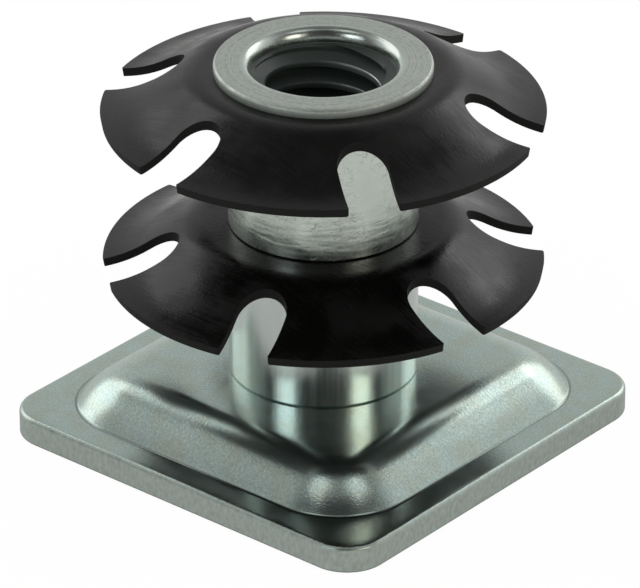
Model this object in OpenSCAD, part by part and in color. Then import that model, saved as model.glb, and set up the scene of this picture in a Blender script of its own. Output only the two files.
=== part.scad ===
// Threaded caster insert for the open end of a square tube.
// A pressed plate caps the tube, two star washers grip its bore, and a threaded barrel, headed below
// and rolled over above, clamps plate, spacers and stars into one stack and takes the caster's stem.
// Millimetres, +Z up. The origin is on the barrel's axis, at the underside of the plate's rim.

/* [Tube] */
// Outside width of the square tube, which the plate covers
tube_w = 31.75; // [28:0.25:40]
// Wall of the tube, which seats on the plate's flat rim
tube_wall = 1.65; // [1.2:0.05:2.2]

/* [Base plate] */
// Thickness of the sheet
plate_t = 2; // [1.5:0.1:2.6]
// Corner radius of the plate's outline
plate_corner_r = 3; // [1:0.25:5]
// Gap on each side between the foot of the raised pad and the tube's bore
pad_gap = 0.4; // [0.1:0.05:0.8]
// Height that the pad is pressed up from the rim
pad_h = 2.5; // [1.8:0.1:3]
// Width of the pad's sloping flanks, seen from above
flank_run = 2.8; // [2.6:0.1:4.5]
// Plan radius of the pad's corners at the crest, where the flanks meet the flat top
crest_corner_r = 2.8; // [1.4:0.1:3]
// Radius of the bend over the crest
crest_r = 3.8; // [2.8:0.1:5]
// Radius of the bend at the foot of the flanks
foot_r = 0.4; // [0.3:0.1:1]

/* [Threaded barrel] */
// Major diameter of the thread
thread_d = 9.525; // [7.9:0.005:10.5]
// Pitch of the thread
thread_pitch = 1.5875; // [1:0.0125:1.75]
// Gap on each side between the thread and the plain mouth above it
mouth_gap = 0.1875; // [0.1:0.0125:0.4]
// Wall of the barrel round the plain mouth
barrel_wall = 0.8; // [0.6:0.05:1.2]
// Depth of the plain mouth below the top face
mouth_depth = 1; // [0.8:0.1:4]
// Height of the cone that leads from the mouth into the thread
lead_in_h = 0.3; // [0.2:0.1:1.5]
// Rounding of the mouth's edge
mouth_round_r = 0.65; // [0.3:0.05:0.8]
// Width that the rolled ring stands out beyond the barrel
ring_w = 1.75; // [1.2:0.05:2.2]
// Thickness of the rolled ring
ring_t = 0.65; // [0.5:0.05:1]
// Rounding of the ring's outer edge
ring_edge_r = 0.25; // [0.1:0.05:0.4]
// Width that the head under the plate stands out beyond the barrel
head_w = 1.75; // [1:0.05:2]
// Thickness of that head
head_t = 1.5; // [0.8:0.1:1.7]
// Depth of the chamfer at the lower end of the thread
chamfer = 0.8; // [0.3:0.1:1.2]

/* [Spacers] */
// Length of each spacer tube
spacer_len = 10.7; // [8:0.1:16]
// Wall of the spacer tube
spacer_wall = 0.7; // [0.5:0.05:1]

/* [Star washers] */
// Thickness of the spring sheet
star_t = 0.6; // [0.4:0.05:0.8]
// Width by which the fingers' free diameter exceeds the tube's bore
star_grip = 1.95; // [1:0.05:3]
// Flat land of the hub outside the rolled ring
hub_land = 0.7; // [0.3:0.05:1.2]
// Radius of the bend where the hub turns down, on the upper face
shoulder_r = 3; // [2:0.1:3.5]
// Slope of the fingers below that bend, in degrees
cone_angle = 30; // [25:1:35]
// Radius of the opposite bend that flares the fingers out, on the upper face
flare_r = 8; // [6:0.25:9]
// Slope left at the rim, in degrees
rim_angle = 10; // [4:1:16]
// Length of the straight lip at the rim
lip_len = 0.4; // [0.2:0.1:1]
// Number of open slots round the rim
slot_count = 6; // [4:1:8]
// Width of a slot
slot_w = 3.5; // [2.5:0.1:4]
// Radial depth of a slot, from the rim to its round end
slot_depth = 5.2; // [4:0.1:6]
// Angle that the lower star is turned to, in degrees
lower_turn = 49; // [0:1:60]
// Angle that the upper star is turned to, in degrees
upper_turn = 23; // [0:1:60]

/* [Fit] */
// Radial clearance between the barrel and everything threaded on it
slip = 0.1; // [0.05:0.01:0.2]

/* [Hidden] */
$fn = 96;
// Cuts run this far past the faces that they open
past = 1;
// Rounds dip this far into the faces that they join, so that the two meet along a clean edge
nip = 0.001;
zinc = "#a9b2b0";
black_oxide = "#26231f";

tube_bore = tube_w - 2 * tube_wall;
pad_foot_half = tube_bore / 2 - pad_gap;
flank_angle = atan2(pad_h, flank_run);
// The hole is drilled one pitch smaller than the thread's major diameter
thread_minor_d = thread_d - thread_pitch;
mouth_d = thread_d + 2 * mouth_gap;
barrel_d = mouth_d + 2 * barrel_wall;
bore_d = barrel_d + 2 * slip;
spacer_d = bore_d + 2 * spacer_wall;
ring_r = barrel_d / 2 + ring_w;
hub_r = ring_r + hub_land;
star_r = (tube_bore + star_grip) / 2;

// Heights of the stack, from the plate up
pad_top = plate_t + pad_h;
lower_hub_z = pad_top + spacer_len + star_t;
upper_hub_z = lower_hub_z + spacer_len + star_t;
top_z = upper_hub_z + ring_t;
head_z = pad_h - head_t;

// Square outline with round corners, centred.
module rounded_square(side, r) {
    for (turn = [0, 90])
        rotate(turn)
            square([side, side - 2 * r], center = true);
    for (x = [-1, 1], y = [-1, 1])
        translate([x, y] * (side / 2 - r))
            circle(r);
}

// What a fillet of radius r takes off the corner at the origin, between a level line that comes from
// the left and a slope that falls to the right. It runs past both, and turned round it fills a corner.
module blunted_corner(r, slope) {
    reach = r * tan(slope / 2);
    end = reach * [cos(slope), -sin(slope)];
    difference() {
        polygon([[-reach, 0], [-reach, past], [0, past], end + past * [sin(slope), cos(slope)], end]);
        translate([-reach, -r])
            circle(r + nip);
    }
}

// Half section of the pressed form: flat top, bend over the crest, straight flank, bend at the foot.
// x is measured outwards from the line of the corner centres, y upwards from the rim's face.
module press_section(crest_x, crest_bend, foot_bend) {
    foot_x = crest_x + flank_run;
    difference() {
        polygon([[0, -past], [foot_x, -past], [foot_x, 0], [crest_x, pad_h], [0, pad_h]]);
        translate([crest_x, pad_h])
            blunted_corner(crest_bend, flank_angle);
    }
    translate([foot_x, 0])
        rotate(180)
            blunted_corner(foot_bend, flank_angle);
}

// The pressed form carried round a square: sides, corners and the middle.
module pressed_form(foot_half, crest_corner, crest_bend, foot_bend) {
    centre_half = foot_half - flank_run - crest_corner;
    translate([-centre_half, -centre_half, -past])
        cube([2 * centre_half, 2 * centre_half, pad_h + past]);
    for (turn = [0 : 90 : 270])
        rotate(turn) {
            translate([centre_half, centre_half, 0])
                rotate([90, 0, 0])
                    linear_extrude(2 * centre_half)
                        press_section(crest_corner, crest_bend, foot_bend);
            translate([centre_half, centre_half, 0])
                rotate_extrude(angle = 90)
                    press_section(crest_corner, crest_bend, foot_bend);
        }
}

module base_plate() {
    // The under face lies one sheet thickness inside the upper one, so its creases shift inwards.
    shift = plate_t * tan(flank_angle / 2);
    crest_bend = min(crest_r, crest_corner_r / tan(flank_angle / 2));
    color(zinc)
        difference() {
            union() {
                linear_extrude(plate_t)
                    rounded_square(tube_w, plate_corner_r);
                translate([0, 0, plate_t])
                    pressed_form(pad_foot_half, crest_corner_r, crest_bend, foot_r);
            }
            pressed_form(pad_foot_half - shift, crest_corner_r - shift, crest_bend - plate_t, foot_r + plate_t);
            cylinder(h = pad_top + past, d = bore_d);
        }
}

// Section of the barrel from its axis outwards: head, shank, rolled ring, plain mouth and tapped hole.
module barrel_section() {
    shank_r = barrel_d / 2;
    head_r = shank_r + head_w;
    minor_r = thread_minor_d / 2;
    mouth_r = mouth_d / 2;
    mouth_z = top_z - mouth_depth;
    difference() {
        polygon([
            [minor_r + chamfer, head_z],
            [head_r, head_z],
            [head_r, pad_h],
            [shank_r, pad_h],
            [shank_r, upper_hub_z],
            [ring_r, upper_hub_z],
            [ring_r, top_z],
            [mouth_r, top_z],
            [mouth_r, mouth_z],
            [minor_r, mouth_z - lead_in_h],
            [minor_r, head_z + chamfer],
        ]);
        translate([ring_r, top_z])
            blunted_corner(ring_edge_r, 90);
        translate([mouth_r, top_z])
            mirror([1, 0])
                blunted_corner(mouth_round_r, 90);
    }
}

module threaded_barrel() {
    color(zinc)
        rotate_extrude()
            barrel_section();
}

module spacer(z) {
    color(zinc)
        translate([0, 0, z])
            difference() {
                cylinder(h = spacer_len, d = spacer_d);
                translate([0, 0, -past])
                    cylinder(h = spacer_len + 2 * past, d = bore_d);
            }
}

module lower_spacer() {
    spacer(pad_top);
}

module upper_spacer() {
    spacer(lower_hub_z);
}

// Step from a corner between two faces to the same corner one unit deeper, from the faces' normals.
function corner_step(n1, n2) = -(n1 + n2) / (1 + n1 * n2);

// Area of the star's section below a face that lies some depth under the upper one: flat hub, bend
// down, straight slope, opposite bend, straight lip. It may run past the bore and the rim.
module below_star_face(depth, over) {
    up = [0, 1];
    slope_up = [sin(cone_angle), cos(cone_angle)];
    lip_up = [sin(rim_angle), cos(rim_angle)];
    flare_angle = cone_angle - rim_angle;
    bend_x = hub_r + shoulder_r * tan(cone_angle / 2);
    lip_x = star_r - (flare_r * tan(flare_angle / 2) + lip_len) * cos(rim_angle);
    lip_y = (bend_x - lip_x) * tan(cone_angle);
    rim_y = lip_y - (star_r - lip_x) * tan(rim_angle);
    bend = [bend_x, 0] + depth * corner_step(up, slope_up);
    lip = [lip_x, lip_y] + depth * corner_step(slope_up, lip_up);
    rim = [star_r, rim_y] - depth * lip_up + over * [cos(rim_angle), -sin(rim_angle)];
    floor_y = rim_y - star_t - past;
    difference() {
        polygon([
            [bore_d / 2 - over, floor_y],
            [bore_d / 2 - over, -depth],
            bend,
            lip,
            rim,
            rim - (rim.y - floor_y) / lip_up.y * lip_up,
        ]);
        translate(bend)
            blunted_corner(shoulder_r - depth, cone_angle);
    }
    translate(lip)
        rotate(180 - rim_angle)
            blunted_corner(flare_r + depth, flare_angle);
}

module star_section() {
    difference() {
        below_star_face(0, 0);
        below_star_face(star_t, past);
    }
}

// A star washer with its hub's upper face at height z, its slots turned by an angle.
module star(z, turn) {
    slot_x = star_r - slot_depth + slot_w / 2;
    cut_h = 2 * (star_r - hub_r);
    color(black_oxide)
        translate([0, 0, z])
            rotate(turn)
                difference() {
                    rotate_extrude()
                        star_section();
                    for (i = [0 : slot_count - 1])
                        rotate(i * 360 / slot_count)
                            translate([slot_x, 0, -cut_h])
                                linear_extrude(cut_h + past) {
                                    circle(d = slot_w);
                                    translate([0, -slot_w / 2])
                                        square([slot_depth, slot_w]);
                                }
                }
}

module lower_star() {
    star(lower_hub_z, lower_turn);
}

module upper_star() {
    star(upper_hub_z, upper_turn);
}

base_plate();
threaded_barrel();
lower_spacer();
lower_star();
upper_spacer();
upper_star();
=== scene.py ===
from math import acos, cos, pi, radians, sin, tan

import bmesh
import bpy
import numpy as np
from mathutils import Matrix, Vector


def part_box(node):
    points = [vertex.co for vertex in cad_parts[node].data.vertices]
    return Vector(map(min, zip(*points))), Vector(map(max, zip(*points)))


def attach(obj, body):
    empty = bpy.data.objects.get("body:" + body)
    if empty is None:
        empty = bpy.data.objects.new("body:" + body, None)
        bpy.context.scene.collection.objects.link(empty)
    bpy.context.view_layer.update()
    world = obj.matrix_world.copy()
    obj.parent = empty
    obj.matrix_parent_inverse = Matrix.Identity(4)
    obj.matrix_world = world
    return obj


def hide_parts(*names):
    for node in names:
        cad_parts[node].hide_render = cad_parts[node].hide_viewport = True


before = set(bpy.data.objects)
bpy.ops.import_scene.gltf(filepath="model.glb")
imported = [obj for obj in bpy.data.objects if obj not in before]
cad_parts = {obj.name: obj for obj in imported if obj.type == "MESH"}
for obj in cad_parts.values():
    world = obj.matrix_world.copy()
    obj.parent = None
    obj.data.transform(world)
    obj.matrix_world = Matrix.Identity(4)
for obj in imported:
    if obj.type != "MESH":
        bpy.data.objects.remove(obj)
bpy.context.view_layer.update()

# Base plate: a square of 2 mm mild steel sheet, sheared to size, with a raised pad pressed up in its
# middle to centre it in the tube, then barrel-plated with bright zinc. The barrel's head holds it from
# below. Sizes are in millimetres, and those that the frame gives come from its boxes.
MM = 0.001


def box_mm(node):
    """Lowest and highest corner of a CAD node, in millimetres."""
    return np.round(np.array(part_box(node)) / MM, 4)


def reach_mm(node):
    """How far a CAD node reaches from the upright axis, on the widest of its box's four sides."""
    return np.abs(box_mm(node)[:, :2]).max()


PLATE_HALF = reach_mm("base_plate")
PLATE_T = 2.0
PLATE_CORNER_R = 3.0
SHEAR_ROLL = 0.34
SHEAR_BURR = 0.16
RIM_DROOP = 0.06
PAD_TOP = box_mm("base_plate")[1, 2]
PAD_CENTRE = 8.225
CREST_BEND = 4.0
CREST_TURN = radians(36)
CROWN_R = 10.4
FOOT_BEND = 0.4
FOOT_X = 5.76
STACK_HOLE_R = 5.85
# Rows of the plate's grid, from the hole out over the pad and the rim to the sheared side.
TOP_ROWS = 6
UNSTRETCHED_ROWS = 4
FOOT_ROWS = 10
RIM_ROWS = 4
ROLL_ROWS = 8
BURR_ROWS = 6
# Points closer than this are one point, and faces that meet more sharply than this meet in an edge.
WELD = 0.001
SHARP = radians(35)
# Nearly all values of a noise lie in this range.
NOISE_MIDDLE = {"From Min": 0.3, "From Max": 0.7}


def arc(centre, radius, start, end, count):
    """Points (x, z) on a circle, from one angle to another, the angles in radians from the x axis."""
    turn = np.linspace(start, end, count)
    return np.column_stack([centre[0] + radius * np.cos(turn), centre[1] + radius * np.sin(turn)])


def between(start, end, count):
    """Points on the straight line between two points, both left out."""
    share = np.linspace(0, 1, count + 2)[1:-1, None]
    return (1 - share) * np.asarray(start) + share * np.asarray(end)


def square_loop(half, corner_r, side_steps=28, corner_steps=18):
    """Rounded squares, one for each half width: a corner centre c on the square of half - corner_r,
    plus corner_r times the outward direction d, with c still in a corner and d still along a side."""
    along = np.linspace(-1, 1, side_steps + 1)[1:-1]
    swing = np.linspace(0, pi / 2, corner_steps + 1)
    c = np.vstack([np.column_stack([np.ones_like(along), along]), np.ones((corner_steps + 1, 2))])
    d = np.vstack([np.column_stack([np.ones_like(along), 0 * along]),
                   np.column_stack([np.cos(swing), np.sin(swing)])])
    quarter = np.array([[0, 1], [-1, 0]])
    turns = [np.linalg.matrix_power(quarter, k) for k in range(4)]
    c = np.vstack([c @ t for t in turns])
    d = np.vstack([d @ t for t in turns])
    half = np.asarray(half)[:, None, None]
    corner_r = np.asarray(corner_r)[:, None, None]
    return (half - corner_r) * c + corner_r * d


def weave(rows, columns, close_rows=False, close_columns=False):
    """Quads over a grid of points numbered row by row, with the last row or column tied to the first."""
    i = np.arange(rows if close_rows else rows - 1)[:, None]
    j = np.arange(columns if close_columns else columns - 1)
    up = (i + 1) % rows
    on = (j + 1) % columns
    corners = (i * columns + j, i * columns + on, up * columns + on, up * columns + j)
    return np.stack(corners, -1).reshape(-1, 4)


def make_piece(name, points, quads, **marks):
    """A mesh object from points in millimetres and quads, with points in the same place welded. Each
    mark is a number for every point or quad, kept as an attribute that the material reads."""
    mesh = bpy.data.meshes.new(name)
    mesh.from_pydata((np.asarray(points) * MM).tolist(), [], np.asarray(quads).tolist())
    for mark, values in marks.items():
        domain = "POINT" if len(values) == len(points) else "FACE"
        layer = mesh.attributes.new(mark, "FLOAT", domain)
        layer.data.foreach_set("value", np.asarray(values, np.float32))
    welded = bmesh.new()
    welded.from_mesh(mesh)
    bmesh.ops.remove_doubles(welded, verts=welded.verts, dist=WELD * MM)
    welded.to_mesh(mesh)
    welded.free()
    mesh.shade_smooth()
    mesh.set_sharp_from_angle(angle=SHARP)
    piece = bpy.data.objects.new(name, mesh)
    bpy.context.collection.objects.link(piece)
    return piece


def pad_faces():
    """Sections (x, z) of the sheet's upper face from the pad's crest to its foot, and of its under face
    back again. Three arcs make each: the crest's bend, the flank's slight crown and the foot's bend. The
    under face has the same centres, with radii that differ by the sheet's thickness."""
    up = pi / 2
    crown_z = PAD_TOP - CREST_BEND + (CREST_BEND - CROWN_R) * cos(CREST_TURN)
    foot = np.array([FOOT_X, PLATE_T + FOOT_BEND])
    foot_turn = acos((foot[1] - crown_z) / (CROWN_R + FOOT_BEND))
    crown = foot - (CROWN_R + FOOT_BEND) * np.array([sin(foot_turn), cos(foot_turn)])
    crest = crown + (CROWN_R - CREST_BEND) * np.array([sin(CREST_TURN), cos(CREST_TURN)])
    over = np.vstack([
        arc(crest, CREST_BEND, up, up - CREST_TURN, count=18),
        arc(crown, CROWN_R, up - CREST_TURN, up - foot_turn, count=8)[1:],
        arc(foot, FOOT_BEND, -up - foot_turn, -up, count=FOOT_ROWS + 1)[1:],
    ])
    under = np.vstack([
        arc(foot, FOOT_BEND + PLATE_T, -up, -up - foot_turn, count=13),
        arc(crown, CROWN_R - PLATE_T, up - foot_turn, up - CREST_TURN, count=8)[1:],
        arc(crest, CREST_BEND - PLATE_T, up - CREST_TURN, up, count=12)[1:],
    ])
    return over, under


def sheared_side():
    """Section (x, z) of the cut side, with x from the plate's edge: a quarter circle where the shear
    rolled the upper edge over, the straight cut, and a small quarter circle for the burr. Pressing the
    pad has pulled the upper edge down by the droop."""
    rolled = arc((-SHEAR_ROLL, PLATE_T - RIM_DROOP - SHEAR_ROLL), SHEAR_ROLL, pi / 2, 0, ROLL_ROWS)
    burr = arc((-SHEAR_BURR, SHEAR_BURR), SHEAR_BURR, 0, -pi / 2, BURR_ROWS)
    return np.vstack([rolled, between(rolled[-1], burr[0], count=5), burr])


def pressed_plate():
    """The section's points carried round rounded squares: x plus the pad's corner centre is the half width
    and x is the corner radius on the pad, and across the rim both run evenly to the outline's. The flat top
    and the ceiling run in to the round hole. The marks are 1 on the sheared side, where pressing stretched
    the sheet, and where shade is painted: in the foot's bend and on the burr along the lower edge."""
    over, under = pad_faces()
    side = sheared_side()
    pad, hollow = (np.column_stack([PAD_CENTRE + face[:, 0], face]) for face in (over, under))
    cut = np.column_stack([PLATE_HALF + side[:, 0], PLATE_CORNER_R + side[:, 0], side[:, 1]])
    upper_rim = between(pad[-1], cut[0], RIM_ROWS)
    under_rim = between(cut[-1], hollow[0], RIM_ROWS)
    rows = np.vstack([pad, upper_rim, cut, under_rim, hollow])
    loops = square_loop(rows[:, 0], rows[:, 1])
    loops = np.dstack([loops, np.broadcast_to(rows[:, 2, None], loops.shape[:2])])
    hole = loops[[0, -1]].copy()
    hole[..., :2] *= STACK_HOLE_R / np.linalg.norm(hole[..., :2], axis=2, keepdims=True)
    share = np.linspace(0, 1, TOP_ROWS + 1)[:-1, None, None]
    top = (1 - share) * hole[0] + share * loops[0]
    ceiling = share * hole[1] + (1 - share) * loops[-1]
    grid = np.concatenate([top, loops, ceiling])

    foot_end = TOP_ROWS + len(over)
    side_start = foot_end + RIM_ROWS
    side_end = side_start + len(side)
    sheared, stretched, thin = np.zeros((3, len(grid)))
    sheared[side_start:side_end] = 1
    sheared[side_start:side_start + ROLL_ROWS] = np.linspace(0, 1, ROLL_ROWS)
    stretched[TOP_ROWS + UNSTRETCHED_ROWS:foot_end - FOOT_ROWS // 2] = 1
    # Painted shade: the foot's bend and the burr along the lower edge are marked here to be darkened.
    thin[foot_end - FOOT_ROWS:foot_end] = np.sin(np.linspace(0, pi, FOOT_ROWS))
    thin[side_end - BURR_ROWS + 1:side_end + 1] = 1
    columns = grid.shape[1]
    marks = {"sheared": sheared, "stretched": stretched, "painted_shade": thin}
    marks = {mark: np.repeat(values, columns) for mark, values in marks.items()}
    return grid.reshape(-1, 3), weave(len(grid), columns, True, True)[:, ::-1], marks


def linear(code):
    """A colour written as an sRGB hex code, as the linear RGBA that shaders take."""
    rgb = np.array([int(code[k:k + 2], 16) for k in (1, 3, 5)]) / 255
    return (*np.where(rgb <= 0.04045, rgb / 12.92, ((rgb + 0.055) / 1.055) ** 2.4).tolist(), 1.0)


def wire(node, inputs):
    """Sets inputs of a shader node. Each is a value, or the socket that feeds it."""
    for key, value in inputs.items():
        if isinstance(value, bpy.types.NodeSocket):
            node.id_data.links.new(value, node.inputs[key])
        else:
            node.inputs[key].default_value = value


def add(tree, kind, inputs=None, output=0, **settings):
    """A new shader node with its settings and inputs, given back as the socket of one of its outputs."""
    node = tree.nodes.new("ShaderNode" + kind)
    for key, value in settings.items():
        setattr(node, key, value)
    wire(node, inputs or {})
    return node.outputs[output]


def new_finish(name):
    """A new material, its node tree and its Principled shader."""
    finish = bpy.data.materials.new(name)
    finish.use_nodes = True
    return finish, finish.node_tree, finish.node_tree.nodes["Principled BSDF"]


def bright_zinc_sheet():
    """Bright zinc plating on cold-rolled sheet: a grey mirror, faintly green with olive stains, cloudy and
    slightly wavy. Its grain, roughest where pressing stretched the sheet, is drawn 0.15 mm wide so that it
    shows. The sheared side is dull and mottled, and painted shade shows grey in the foot's bend and on the
    burr along the lower edge."""
    finish, tree, shader = new_finish("bright_zinc_plated_sheet")
    place = add(tree, "TexCoord", output="Object")
    sheared, stretched, thin = (
        add(tree, "Attribute", output="Fac", attribute_name=mark)
        for mark in ("sheared", "stretched", "painted_shade"))
    # Each noise has a size in millimetres and a number of finer octaves.
    cloud, blotch, grain, grit, wave = (
        add(tree, "TexNoise", {"Vector": place, "Scale": 1 / (size * MM), "Detail": detail})
        for size, detail in ((3.0, 6), (1.6, 6), (0.15, 2), (0.13, 1), (7.0, 0)))
    upright = add(tree, "VectorMath", {0: place, 1: (0.3 * MM, 0.3 * MM, 0.5 * MM)}, operation="DIVIDE")
    tear = add(tree, "TexNoise", {"Vector": upright, "Scale": 1, "Detail": 3})

    grey, bright, olive, speck, dark_tear, pale_tear, painted_shade_grey = map(linear, (
        "#b4c7c0", "#ccdcd7", "#bec4b1", "#9caea8", "#a1a89f", "#c0cbc6", "#7c8681"))
    stained = add(tree, "MapRange", {"Value": blotch, "From Min": 0.42, "From Max": 0.66, "To Max": 0.65})
    speckled = add(tree, "MapRange", {"Value": grain, **NOISE_MIDDLE, "To Max": 0.65})
    patchy = add(tree, "MapRange", {"Value": tear, "From Min": 0.25, "From Max": 0.75})
    clear = add(tree, "MixRGB", {"Fac": cloud, "Color1": grey, "Color2": bright})
    clear = add(tree, "MixRGB", {"Fac": stained, "Color1": clear, "Color2": olive})
    clear = add(tree, "MixRGB", {"Fac": speckled, "Color1": clear, "Color2": speck})
    torn = add(tree, "MixRGB", {"Fac": patchy, "Color1": dark_tear, "Color2": pale_tear})
    tone = add(tree, "MixRGB", {"Fac": sheared, "Color1": clear, "Color2": torn})
    # Painted shade: a darker grey mixed in over the foot's bend and the burr.
    tone = add(tree, "MixRGB", {"Fac": thin, "Color1": tone, "Color2": painted_shade_grey})

    gloss = add(tree, "MapRange", {"Value": cloud, **NOISE_MIDDLE, "To Min": 0.16, "To Max": 0.25})
    dull = add(tree, "MapRange", {"Value": tear, **NOISE_MIDDLE, "To Min": 0.4, "To Max": 0.58})
    rough = add(tree, "Mix", {"Factor": stretched, "A": gloss, "B": 0.23})
    rough = add(tree, "Mix", {"Factor": sheared, "A": rough, "B": dull})

    pulled = add(tree, "MapRange", {"Value": stretched, "To Min": 0.6, "To Max": 1.0})
    bump = add(tree, "Bump", {"Height": wave, "Distance": 0.05 * MM})
    bump = add(tree, "Bump", {"Height": grit, "Distance": 0.006 * MM, "Strength": pulled, "Normal": bump})
    bump = add(tree, "Bump", {"Height": tear, "Distance": 0.015 * MM, "Strength": sheared, "Normal": bump})
    wire(shader, {"Metallic": 1.0, "Base Color": tone, "Roughness": rough, "Normal": bump})
    return finish


points, quads, marks = pressed_plate()
plate = make_piece("pressed_plate", points, quads, **marks)
plate.data.materials.append(bright_zinc_sheet())
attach(plate, "root")
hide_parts("base_plate")

# Threaded barrel: turned from free-cutting steel bar and tapped through for the caster's stem. A head
# bears under the plate, and the thin upper end is rolled over the stack into a flat ring. Zinc plated.
THREAD_R = 4.7625
THREAD_PITCH = 1.5875
MINOR_R = THREAD_R - THREAD_PITCH / 2
BARREL_R = 5.75
BARREL_TOP = box_mm("threaded_barrel")[1, 2]
HEAD_Z = box_mm("threaded_barrel")[0, 2]
HEAD_TOP = PAD_TOP - PLATE_T
HEAD_R = reach_mm("threaded_barrel")
HEAD_EDGE = 0.2
BORE_CHAMFER = 0.8
RING_R = reach_mm("threaded_barrel")
RING_Z = box_mm("upper_star")[1, 2]
RING_EDGE = 0.25
MOUTH_R = 4.95
MOUTH_DEPTH = 1.0
MOUTH_Z = BARREL_TOP - MOUTH_DEPTH
MOUTH_ROUND = 0.65
LEAD_IN = 0.3
ROUND_STEPS = 128
# Shares of the pitch: the flats of crest and root, how far the crest's broken corner reaches in over the
# flat and down the flank, and where on the flank its shine ends.
CREST = 0.25
ROOT = 0.173
BREAK_FLAT = 0.03
BREAK_FLANK = 0.0167
SHINE_END = 0.035
# Stems rub one side of the thread, and the rubbing fades round it as this power of the cosine.
# That side is where glints fall, so its lighter crests are partly a painted glint.
RUBBED_GLINT_SIDE = radians(68)
RUBBED_GLINT_FADE = 3
# How strong the painted shade is in the corner under the ring's edge.
CORNER_SHADE = 0.75


def turned(section):
    """A section of points (radius, height) spun round the upright axis."""
    angle = np.linspace(0, 2 * pi, ROUND_STEPS, endpoint=False)
    r = section[:, :1]
    z = np.broadcast_to(section[:, 1:], (len(section), ROUND_STEPS))
    return np.stack([r * np.cos(angle), r * np.sin(angle), z], -1)


def tapped_hole():
    """Radius of a right-hand thread over angle and height: rows run along the helix, so that one row
    follows the crest. The height is row times pitch plus the share of a turn, held between the ends, and
    the chamfer cones at both ends cut off what is narrower than they are. The mark is oil together with
    painted shade deep in the bore. Stems have rubbed it off the crests and their broken corners on one
    side of the thread, and those lighter crests are partly a painted glint."""
    flank = (1 - CREST - ROOT) / 2
    # Each point of one turn's profile: its place along the pitch, its depth and how brightly it is rubbed.
    profile = np.array([
        (BREAK_FLAT, 0, 0.5),
        (CREST / 2, 0, 0.2),
        (CREST - BREAK_FLAT, 0, 0.5),
        (CREST + BREAK_FLANK, BREAK_FLANK, 1),
        (CREST + SHINE_END, SHINE_END, 0),
        (CREST + flank / 2, flank / 2, 0),
        (CREST + flank, flank, 0),
        (CREST + flank + ROOT / 2, flank, 0),
        (CREST + flank + ROOT, flank, 0),
        (1 - flank / 2, flank / 2, 0),
        (1 - SHINE_END, SHINE_END, 0),
        (1 - BREAK_FLANK, BREAK_FLANK, 1),
    ])
    turns = np.arange(-2, int((MOUTH_Z - HEAD_Z) / THREAD_PITCH) + 2)
    row = (turns[:, None] + profile[:, 0]).reshape(-1, 1)
    depth, shine = np.tile(profile[:, 1:], (len(turns), 1)).T[:, :, None]
    radius = MINOR_R + (THREAD_R - MINOR_R) * depth / flank
    angle = np.linspace(0, 2 * pi, ROUND_STEPS + 1)
    z = np.clip(HEAD_Z + THREAD_PITCH * (row + angle / (2 * pi)), HEAD_Z, MOUTH_Z)
    low_cone = MINOR_R + BORE_CHAMFER - (z - HEAD_Z)
    high_cone = MOUTH_R - (MOUTH_Z - z) * (MOUTH_R - MINOR_R) / LEAD_IN
    r = np.maximum(np.maximum(radius, low_cone), high_cone)
    # Part wear, part painted glint: the crests are lighter and metallic only on the side where glints fall.
    rubbed = np.clip(np.cos(angle - RUBBED_GLINT_SIDE), 0, 1) ** RUBBED_GLINT_FADE
    oil = 1 - shine * rubbed * (r <= radius)
    return np.stack([r * np.cos(angle), r * np.sin(angle), z], -1), oil.ravel()


def barrel_outside():
    """Section from the lower chamfer's edge out round the head, up the shank, round the rolled ring
    and down the mouth's quarter ellipse. One mark is 1 on the ring's face and outer edge, the other is
    dark: oil and painted shade at both ends, where the bore begins, and painted shade in the corner
    under the ring's edge."""
    start = (MINOR_R + BORE_CHAMFER, HEAD_Z)
    foot = arc((HEAD_R - HEAD_EDGE, HEAD_Z + HEAD_EDGE), HEAD_EDGE, -pi / 2, 0, count=6)
    edge = arc((RING_R - RING_EDGE, BARREL_TOP - RING_EDGE), RING_EDGE, 0, pi / 2, count=8)
    mouth = arc((MOUTH_R + MOUTH_ROUND, 0), MOUTH_ROUND, pi / 2, pi, count=22)
    mouth[:, 1] = MOUTH_Z + mouth[:, 1] * (BARREL_TOP - MOUTH_Z) / MOUTH_ROUND
    shank = np.vstack([
        [start], between(start, foot[0], count=3), foot,
        [(HEAD_R, HEAD_TOP), (BARREL_R, HEAD_TOP)],
        between((BARREL_R, HEAD_TOP), (BARREL_R, RING_Z), count=3),
        [(BARREL_R, RING_Z)],
    ])
    ring = np.vstack([[(RING_R, RING_Z)], edge, between(edge[-1], mouth[0], count=6)])
    flat = np.concatenate([np.zeros(len(shank)), np.ones(len(ring)), np.zeros(len(mouth))])
    oil = np.zeros(len(flat))
    # Oil and painted shade at both ends, where the bore begins, and painted shade in the corner under the
    # ring.
    oil[[0, len(shank), -1]] = 1, CORNER_SHADE, 1
    return np.vstack([shank, ring, mouth]), flat, oil


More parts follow.
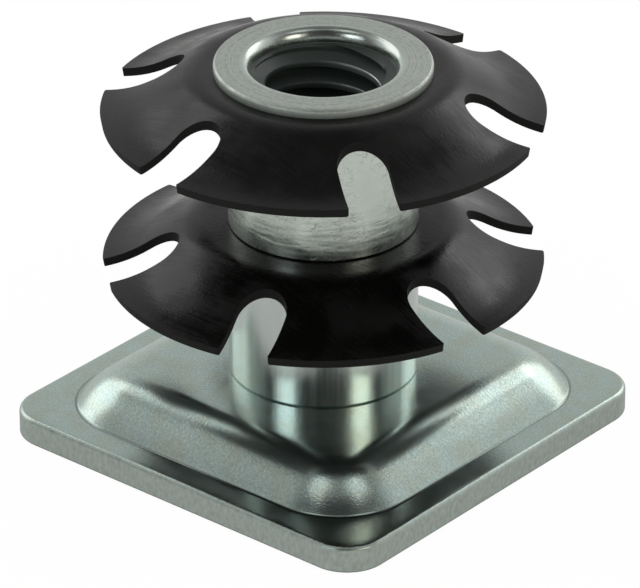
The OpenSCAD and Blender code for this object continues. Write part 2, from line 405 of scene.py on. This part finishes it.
def turned_zinc():
    """Bright zinc on turned steel: glossy on the rolled mouth, and matte on the ring, with specks of wear
    and fine concentric tool marks, drawn 0.12 mm wide so that they show. The plating hardly reached the
    bore, which is dark with oil and painted shade, and painted shade darkens the corner under the ring."""
    finish, tree, shader = new_finish("bright_zinc_on_turned_steel")
    place = add(tree, "TexCoord", output="Object")
    ring_face, oily = (
        add(tree, "Attribute", output="Fac", attribute_name=mark) for mark in ("ring_face", "oily"))
    level = add(tree, "VectorMath", {0: place, 1: (1, 1, 0)}, operation="MULTIPLY")
    radius = add(tree, "VectorMath", {0: level}, output="Value", operation="LENGTH")
    tooling = add(tree, "TexNoise", {"W": radius, "Scale": 1 / (0.12 * MM), "Detail": 1},
                  noise_dimensions="1D")
    cloud, fleck = (
        add(tree, "TexNoise", {"Vector": place, "Scale": 1 / (size * MM), "Detail": detail})
        for size, detail in ((1.6, 5), (0.28, 3)))

    grey, bright, groove, ridge, speck, oil = map(linear, (
        "#b4bdb6", "#c8cfc9", "#8b938d", "#d6dbd4", "#c3cac2", "#2f3834"))
    specked = add(tree, "MapRange", {"Value": fleck, "From Min": 0.4, "From Max": 0.62})
    clear = add(tree, "MixRGB", {"Fac": cloud, "Color1": grey, "Color2": bright})
    banded = add(tree, "MixRGB", {"Fac": tooling, "Color1": groove, "Color2": ridge})
    banded = add(tree, "MixRGB", {"Fac": specked, "Color1": banded, "Color2": speck})
    tone = add(tree, "MixRGB", {"Fac": ring_face, "Color1": clear, "Color2": banded})
    # Oil and painted shade: the bore and the corner under the ring are mixed towards this dark tone.
    tone = add(tree, "MixRGB", {"Fac": oily, "Color1": tone, "Color2": oil})

    gloss = add(tree, "MapRange", {"Value": cloud, **NOISE_MIDDLE, "To Min": 0.21, "To Max": 0.3})
    matte = add(tree, "MapRange", {"Value": cloud, **NOISE_MIDDLE, "To Min": 0.45, "To Max": 0.62})
    rough = add(tree, "Mix", {"Factor": ring_face, "A": gloss, "B": matte})
    rough = add(tree, "Mix", {"Factor": oily, "A": rough, "B": 0.5})

    metal = add(tree, "MapRange", {"Value": oily, "To Min": 1.0, "To Max": 0.08})
    bump = add(tree, "Bump", {"Height": tooling, "Distance": 0.03 * MM, "Strength": ring_face})
    bump = add(tree, "Bump", {"Height": cloud, "Distance": 0.02 * MM, "Normal": bump})
    wire(shader, {"Metallic": metal, "Base Color": tone, "Roughness": rough, "Normal": bump})
    return finish


section, flat, oil = barrel_outside()
outside = turned(section)
thread, thread_oil_and_shade = tapped_hole()
points = np.vstack([outside.reshape(-1, 3), thread.reshape(-1, 3)])
thread_start = len(section) * ROUND_STEPS
quads = np.vstack([weave(*outside.shape[:2], close_columns=True),
                   weave(*thread.shape[:2])[:, ::-1] + thread_start])
ring_face = np.concatenate([np.repeat(flat, ROUND_STEPS), np.zeros(len(thread_oil_and_shade))])
oily = np.concatenate([np.repeat(oil, ROUND_STEPS), thread_oil_and_shade])
barrel = make_piece("tapped_barrel", points, quads, ring_face=ring_face, oily=oily)
barrel.data.materials.append(turned_zinc())
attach(barrel, "root")
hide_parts("threaded_barrel")

# Spacers: two lengths of thin steel tube, cut off square, slipped over the barrel to keep plate and
# stars apart. The lower one kept its bright zinc, and the upper one is scuffed dull from tumbling.
SPACER_R = reach_mm("lower_spacer")
CUT_EDGE = 0.12


def spacer_section(node):
    """Closed section of a tube's wall between its CAD node's ends, with its four edges broken at 45
    degrees."""
    low, top = box_mm(node)[:, 2]
    inner, outer = STACK_HOLE_R, SPACER_R
    foot = [(inner + CUT_EDGE, low), (outer - CUT_EDGE, low), (outer, low + CUT_EDGE)]
    outer_head = [(outer, top - CUT_EDGE), (outer - CUT_EDGE, top)]
    inner_wall = [(inner + CUT_EDGE, top), (inner, top - CUT_EDGE), (inner, low + CUT_EDGE)]
    return np.vstack([foot, between(foot[-1], outer_head[0], count=5), outer_head, inner_wall])


def zinc_tube():
    """Zinc on drawn tube: bright, with faint lines along the tube. Where it is scuffed it is paler, rippled
    and dented, with curled rubs from parts that tumbled against each other, drawn 0.04 mm wide so that they
    show."""
    finish, tree, shader = new_finish("zinc_plated_drawn_tube")
    place = add(tree, "TexCoord", output="Object")
    scuffed = add(tree, "Attribute", output="Fac", attribute_name="scuffed")
    along = add(tree, "VectorMath", {0: place, 1: (0.5 * MM, 0.5 * MM, 12 * MM)}, operation="DIVIDE")
    around = add(tree, "VectorMath", {0: place, 1: (2.5 * MM, 2.5 * MM, 0.4 * MM)}, operation="DIVIDE")
    drawn = add(tree, "TexNoise", {"Vector": along, "Scale": 1, "Detail": 2})
    ripple = add(tree, "TexNoise", {"Vector": around, "Scale": 1, "Detail": 1})
    cloud = add(tree, "TexNoise", {"Vector": place, "Scale": 1 / (2.2 * MM), "Detail": 5})
    swirl = add(tree, "TexNoise", {"Vector": place, "Scale": 1 / (0.6 * MM), "Detail": 1, "Distortion": 1})
    # A rub is a contour line of the swirl, kept only in the cloud's lighter parts.
    contour = add(tree, "Math", {0: swirl, 1: 0.5, 2: 0.012}, operation="COMPARE")
    lighter = add(tree, "MapRange", {"Value": cloud, "From Min": 0.45, "From Max": 0.6})
    rub = add(tree, "Math", {0: contour, 1: lighter}, operation="MULTIPLY")
    rub = add(tree, "Math", {0: rub, 1: scuffed}, operation="MULTIPLY")

    grey, bright, dull, pale, rubbed = map(linear, ("#b9c0bc", "#ced4d1", "#b4c2b8", "#e8eee5", "#b0b9b1"))
    lined = add(tree, "MixRGB", {"Fac": drawn, "Color1": grey, "Color2": bright})
    cloudy = add(tree, "MixRGB", {"Fac": cloud, "Color1": dull, "Color2": pale})
    tone = add(tree, "MixRGB", {"Fac": scuffed, "Color1": lined, "Color2": cloudy})
    tone = add(tree, "MixRGB", {"Fac": rub, "Color1": tone, "Color2": rubbed})

    gloss = add(tree, "MapRange", {"Value": drawn, **NOISE_MIDDLE, "To Min": 0.18, "To Max": 0.25})
    satin = add(tree, "MapRange", {"Value": cloud, **NOISE_MIDDLE, "To Min": 0.2, "To Max": 0.36})
    rough = add(tree, "Mix", {"Factor": scuffed, "A": gloss, "B": satin})

    bump = add(tree, "Bump", {"Height": drawn, "Distance": 0.006 * MM})
    bump = add(tree, "Bump", {"Height": ripple, "Distance": 0.02 * MM, "Strength": scuffed, "Normal": bump})
    bump = add(tree, "Bump", {"Height": cloud, "Distance": 0.04 * MM, "Strength": scuffed, "Normal": bump})
    bump = add(tree, "Bump", {"Height": rub, "Distance": 0.01 * MM, "Normal": bump}, invert=True)
    wire(shader, {"Metallic": 1.0, "Base Color": tone, "Roughness": rough, "Normal": bump})
    return finish


tube_finish = zinc_tube()
for name, node, scuffed in (("lower_tube", "lower_spacer", 0.0), ("upper_tube", "upper_spacer", 1.0)):
    grid = turned(spacer_section(node))
    points = grid.reshape(-1, 3)
    quads = weave(*grid.shape[:2], close_rows=True, close_columns=True)
    tube = make_piece(name, points, quads, scuffed=np.full(len(points), scuffed))
    tube.data.materials.append(tube_finish)
    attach(tube, "root")
    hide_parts(node)

# Star washers: stamped from 0.6 mm spring steel with six open slots, pressed into a shallow bell with a
# flared rim, hardened and black-oxidised. Their fingers spring inwards and grip the bore of the tube.
STAR_R = 15.2
STAR_T = 0.6
STAR_HUB_R = 8.2
SHOULDER_R = 3.0
FLARE_R = 8.0
CONE = radians(30)
RIM_SLOPE = radians(10)
# Where the lines of cone and lip would meet, measured from the hub's upper face.
LIP_CORNER = np.array([13.41658, -2.54765])
SLOT_COUNT = 6
SLOT_R = 1.75
SLOT_CENTRE = 11.75
TIP_R = 0.18
STAR_EDGE = 0.07
LOWER_TURN = radians(49)
UPPER_TURN = radians(23)
# The width at the rim over which the under face draws in, so that the rim's edge stays square to the lip.
TRIM_WIDTH = 2.0
# Rows of a star's grid: radii on the flat hub, how far the shoulder's rows reach, and counts from there out.
HUB_ROWS = [STACK_HOLE_R, 7.0, 8.0]
SHOULDER_REACH = 1.72
SHOULDER_ROWS = 12
SLOT_END_ROWS = 12
SLOT_SIDE_ROWS = 15
TIP_ROWS = 6
FINGER_COLUMNS = 25


def star_face(depth):
    """Section (radius, height) of the face that lies some depth under the upper one: flat hub, arc down
    about (hub radius, -shoulder radius), straight cone, opposite arc, straight lip square to the rim."""
    up = pi / 2
    tangent = FLARE_R * tan((CONE - RIM_SLOPE) / 2)
    cone_end = LIP_CORNER + tangent * np.array([-cos(CONE), sin(CONE)])
    flare = cone_end + FLARE_R * np.array([sin(CONE), cos(CONE)])
    rim_z = LIP_CORNER[1] - (STAR_R - LIP_CORNER[0]) * tan(RIM_SLOPE)
    rim = (STAR_R - depth * sin(RIM_SLOPE), rim_z - depth * cos(RIM_SLOPE))
    shoulder = arc((STAR_HUB_R, -SHOULDER_R), SHOULDER_R - depth, up, up - CONE, count=40)
    bell = arc(flare, FLARE_R + depth, -up - CONE, -up - RIM_SLOPE, count=40)
    return np.vstack([[(STACK_HOLE_R, -depth)], shoulder, bell, [rim]])


def star_sheet(hub_z, turn):
    """Six like sectors, each from the middle of one slot to the next. A row has one radius, and its
    points spread evenly over the angle that the slot leaves: all of it inside the slots, less the half
    angle of the slot's round end, then of its straight sides, and of the tip's small round. The upper and
    lower sheets share these rows, and walls join them along slots, rim and hole. The mark is 1 on walls."""
    hub = np.concatenate([HUB_ROWS, STAR_HUB_R + np.linspace(0, SHOULDER_REACH, SHOULDER_ROWS)])
    swing = np.linspace(0, pi / 2, SLOT_END_ROWS)
    end = np.column_stack([SLOT_CENTRE - SLOT_R * np.cos(swing), SLOT_R * np.sin(swing)])
    straight = np.linspace(np.hypot(*end[-1]), STAR_R - TIP_R, SLOT_SIDE_ROWS)[1:]
    tip = np.linspace(0, pi / 2, TIP_ROWS)[1:]
    radius = np.concatenate([hub, np.hypot(*end.T), straight, STAR_R - TIP_R + TIP_R * np.sin(tip)])
    gap = np.concatenate([
        0 * hub, np.arctan2(end[:, 1], end[:, 0]), np.arcsin(SLOT_R / straight),
        np.arcsin(SLOT_R / STAR_R) + TIP_R * (1 - np.cos(tip)) / STAR_R,
    ])
    sector = 2 * pi / SLOT_COUNT
    share = np.linspace(0, 1, FINGER_COLUMNS)
    starts = turn + sector * np.arange(SLOT_COUNT)
    angle = starts[:, None, None] + (gap[:, None] + share * (sector - 2 * gap[:, None]))
    trim = np.clip((radius - STAR_R + TRIM_WIDTH) / TRIM_WIDTH, 0, 1) * STAR_T * sin(RIM_SLOPE)
    sheets = []
    for face, r in ((star_face(0), radius), (star_face(STAR_T), radius - trim)):
        height = hub_z + np.interp(r, face[:, 0], face[:, 1])
        height = np.broadcast_to(height[:, None], angle.shape)
        sheets.append(np.stack([r[:, None] * np.cos(angle), r[:, None] * np.sin(angle), height], -1))

    rows = len(radius)
    size = rows * FINGER_COLUMNS
    index = np.arange(size).reshape(rows, FINGER_COLUMNS)
    fingers = index[len(hub):]
    walls = []
    for line in (index[-1], fingers[::-1, -1], index[0, ::-1], fingers[:, 0]):
        walls.append(np.column_stack([line[:-1], line[:-1] + size, line[1:] + size, line[1:]]))
    lower = weave(rows, FINGER_COLUMNS) + size
    upper = weave(rows, FINGER_COLUMNS)[:, ::-1]
    one = np.vstack([upper, lower] + walls)
    shift = 2 * size * np.arange(SLOT_COUNT)[:, None, None]
    wall = np.tile(np.arange(len(one)) >= len(upper) + len(lower), SLOT_COUNT)
    return np.stack(sheets, 1).reshape(-1, 3), (one + shift).reshape(-1, 4), wall


def black_oxide():
    """Black oxide on spring steel: a thin dark magnetite skin with a film of oil, semi-gloss and slightly
    brown. The sheet's rolling lines show through, drawn 0.12 mm apart so that they show. Punched edges are
    matt."""
    finish, tree, shader = new_finish("black_oxide_spring_steel")
    place = add(tree, "TexCoord", output="Object")
    punched = add(tree, "Attribute", output="Fac", attribute_name="punched")
    rolled = add(tree, "VectorMath", {0: place, 1: (3.0 * MM, 0.12 * MM, 3.0 * MM)}, operation="DIVIDE")
    lines = add(tree, "TexNoise", {"Vector": rolled, "Scale": 1, "Detail": 2})
    cloud, grit = (
        add(tree, "TexNoise", {"Vector": place, "Scale": 1 / (size * MM), "Detail": detail})
        for size, detail in ((2.5, 6), (0.2, 2)))

    black, brown = map(linear, ("#040404", "#0e0d0b"))
    tone = add(tree, "MixRGB", {"Fac": cloud, "Color1": black, "Color2": brown})
    film = add(tree, "Math", {0: lines, 1: 0.5, 2: cloud}, operation="MULTIPLY_ADD")
    gloss = add(tree, "MapRange",
                {"Value": film, "From Min": 0.55, "From Max": 0.95, "To Min": 0.16, "To Max": 0.38})
    rough = add(tree, "Mix", {"Factor": punched, "A": gloss, "B": 0.75})
    bump = add(tree, "Bump", {"Height": lines, "Distance": 0.0012 * MM})
    bump = add(tree, "Bump", {"Height": grit, "Distance": 0.009 * MM, "Normal": bump})
    wire(shader, {"IOR": 1.37, "Base Color": tone, "Roughness": rough, "Normal": bump})
    return finish


star_finish = black_oxide()
for name, node, turn in (("lower_spring_star", "lower_star", LOWER_TURN),
                         ("upper_spring_star", "upper_star", UPPER_TURN)):
    points, quads, wall = star_sheet(box_mm(node)[1, 2], turn)
    star = make_piece(name, points, quads, punched=wall)
    star.data.materials.append(star_finish)
    edge = star.modifiers.new("stamped_edge", "BEVEL")
    edge.width = STAR_EDGE * MM
    edge.segments = 2
    edge.limit_method = "ANGLE"
    edge.angle_limit = radians(50)
    edge.harden_normals = True
    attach(star, "root")
    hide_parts(node)

# Studio: a white table, a pale backdrop that the world stands for, a cool soft box on the left and a warm
# one on the right, panels at the sides, small lights above and behind, and a low fill in front. The camera
# looks down at the plate's front corner.
CAMERA_AZIMUTH = radians(40)
CAMERA_ELEVATION = radians(28.14)
CAMERA_DISTANCE = 416.67
LAMP_DISTANCE = 300
LOOK_AT = np.array([0.0, 0.0, 10.0])
UPWARDS = np.array([0.0, 0.0, 1.0])
TOWARDS = np.array([sin(CAMERA_AZIMUTH), -cos(CAMERA_AZIMUTH), 0.0])
RIGHTWARDS = np.array([cos(CAMERA_AZIMUTH), sin(CAMERA_AZIMUTH), 0.0])
# The backdrop's brightness by height, as the sine of the angle above the table.
BACKDROP = ((0.2, 0.68), (0.45, 0.63), (0.66, 0.55), (0.77, 0.36), (0.9, 0.2), (1.0, 0.18))
AMBIENT = 0.35
TABLE_HALF = 1500
TABLE_DROP = 0.02
# The table's white glow, and its share for the camera and in reflections. The rest is matt and takes shadow.
TABLE_GLOW = 1.04
GLOW_SEEN = 0.92
GLOW_MIRRORED = 0.32


def look(side, rise, distance):
    """A point in metres that lies side radians to the right of the camera's direction, and rise above."""
    level = cos(side) * TOWARDS + sin(side) * RIGHTWARDS
    return (LOOK_AT + distance * (cos(rise) * level + sin(rise) * UPWARDS)) * MM


def place_at(thing, point):
    """Puts a lamp or the camera at a point and aims its -Z axis at the point that is looked at."""
    thing.location = point
    thing.rotation_euler = (Vector(LOOK_AT * MM) - Vector(point)).to_track_quat("-Z", "Y").to_euler()
    bpy.context.collection.objects.link(thing)


def ray_kinds(tree):
    """Two sockets: 1 for rays from the camera, and 1 for rays that come by way of metal or glass."""
    path = add(tree, "LightPath").node.outputs
    mirrored = {0: path["Is Glossy Ray"], 1: path["Is Transmission Ray"]}
    return path["Is Camera Ray"], add(tree, "Math", mirrored, operation="MAXIMUM")


lens = bpy.data.cameras.new("camera")
lens.sensor_width = 36
lens.lens = 339.16
lens.shift_x = -0.00536
lens.shift_y = -0.00267
lens.clip_start = 0.01
lens.clip_end = 20
camera = bpy.data.objects.new("camera", lens)
place_at(camera, look(0, CAMERA_ELEVATION, CAMERA_DISTANCE))
bpy.context.scene.camera = camera

# Each lamp's degrees to the right of the camera and above the table, its tint, its size and its watts.
for name, side, rise, tint, width, height, power in (
    ("soft_box_left", -46, 26, "#f1f6fa", 110, 95, 0.108),
    ("soft_box_right", 46, 26, "#fff8ec", 110, 95, 0.108),
    ("top_light_left", -54, 64, "#ffffff", 110, 100, 0.034),
    ("top_light_right", 54, 64, "#ffffff", 110, 100, 0.034),
    ("top_light_middle", 0, 69, "#ffffff", 110, 80, 0.008),
    ("front_fill", 0, 5, "#ffffff", 300, 40, 0.05),
    ("back_light_left", -137, 48, "#ffffff", 90, 50, 0.018),
    ("back_light_right", 139, 39, "#ffffff", 120, 60, 0.044),
    ("side_panel_left", -125, 27, "#ffffff", 200, 200, 0.138),
    ("side_panel_right", 131, 24, "#ffffff", 175, 155, 0.102),
):
    lamp = bpy.data.lights.new(name, "AREA")
    lamp.shape = "RECTANGLE"
    lamp.size = width * MM
    lamp.size_y = height * MM
    lamp.color = linear(tint)[:3]
    lamp.energy = power
    shade = bpy.data.objects.new(name, lamp)
    shade.visible_camera = False
    place_at(shade, look(radians(side), radians(rise), LAMP_DISTANCE))

world = bpy.data.worlds.new("pale_studio")
bpy.context.scene.world = world
world.use_nodes = True
tree = world.node_tree
ray = add(tree, "TexCoord", output="Generated")
wall = add(tree, "ValToRGB", {"Fac": add(tree, "SeparateXYZ", {0: ray}, output="Z")})
stops = wall.node.color_ramp.elements
for height, _ in BACKDROP[1:-1]:
    stops.new(height)
for stop, (height, level) in zip(stops, BACKDROP):
    stop.position = height
    stop.color = (level, level, level, 1)
# The backdrop fades out behind the camera, and is a little brighter on the right.
behind = add(tree, "VectorMath", {0: ray, 1: -TOWARDS}, output="Value", operation="DOT_PRODUCT")
across = add(tree, "VectorMath", {0: ray, 1: RIGHTWARDS}, output="Value", operation="DOT_PRODUCT")
fade = add(tree, "MapRange", {"Value": behind, "From Min": -0.38, "From Max": 0.1, "To Min": 0.08},
           interpolation_type="SMOOTHSTEP")
tilt = add(tree, "MapRange", {"Value": across, "From Max": 0.7, "To Min": 1.0, "To Max": 1.15})
level = add(tree, "Math", {0: fade, 1: tilt}, operation="MULTIPLY")
dimmed = add(tree, "MixRGB", {"Fac": 1.0, "Color1": wall, "Color2": level}, blend_type="MULTIPLY")
seen, mirrored = ray_kinds(tree)
lit = add(tree, "MixRGB", {"Fac": mirrored, "Color1": (AMBIENT, AMBIENT, AMBIENT, 1), "Color2": dimmed})
sky = add(tree, "MixRGB", {"Fac": seen, "Color1": lit, "Color2": (1, 1, 1, 1)})
wire(tree.nodes["Background"], {"Color": sky})

sides = np.array([-TABLE_HALF, TABLE_HALF])
corners = np.stack(np.meshgrid(sides, sides, -TABLE_DROP), -1).reshape(-1, 3)
floor_mesh = bpy.data.meshes.new("table")
floor_mesh.from_pydata((corners * MM).tolist(), [], [[0, 1, 3, 2]])
floor = bpy.data.objects.new("table", floor_mesh)
bpy.context.collection.objects.link(floor)
white, tree, shader = new_finish("white_table")
tree.nodes.remove(shader)
seen, mirrored = ray_kinds(tree)
matt = add(tree, "BsdfDiffuse", {"Color": linear("#e6e6e4")})
glow = add(tree, "Emission", {"Color": (1, 1, 1, 1), "Strength": TABLE_GLOW})
share = add(tree, "Math", {0: seen, 1: GLOW_SEEN}, operation="MULTIPLY")
share = add(tree, "Math", {0: mirrored, 1: GLOW_MIRRORED, 2: share}, operation="MULTIPLY_ADD")
wire(tree.nodes["Material Output"], {"Surface": add(tree, "MixShader", {0: share, 1: matt, 2: glow})})
floor_mesh.materials.append(white)

bpy.context.scene.view_settings.view_transform = "Standard"
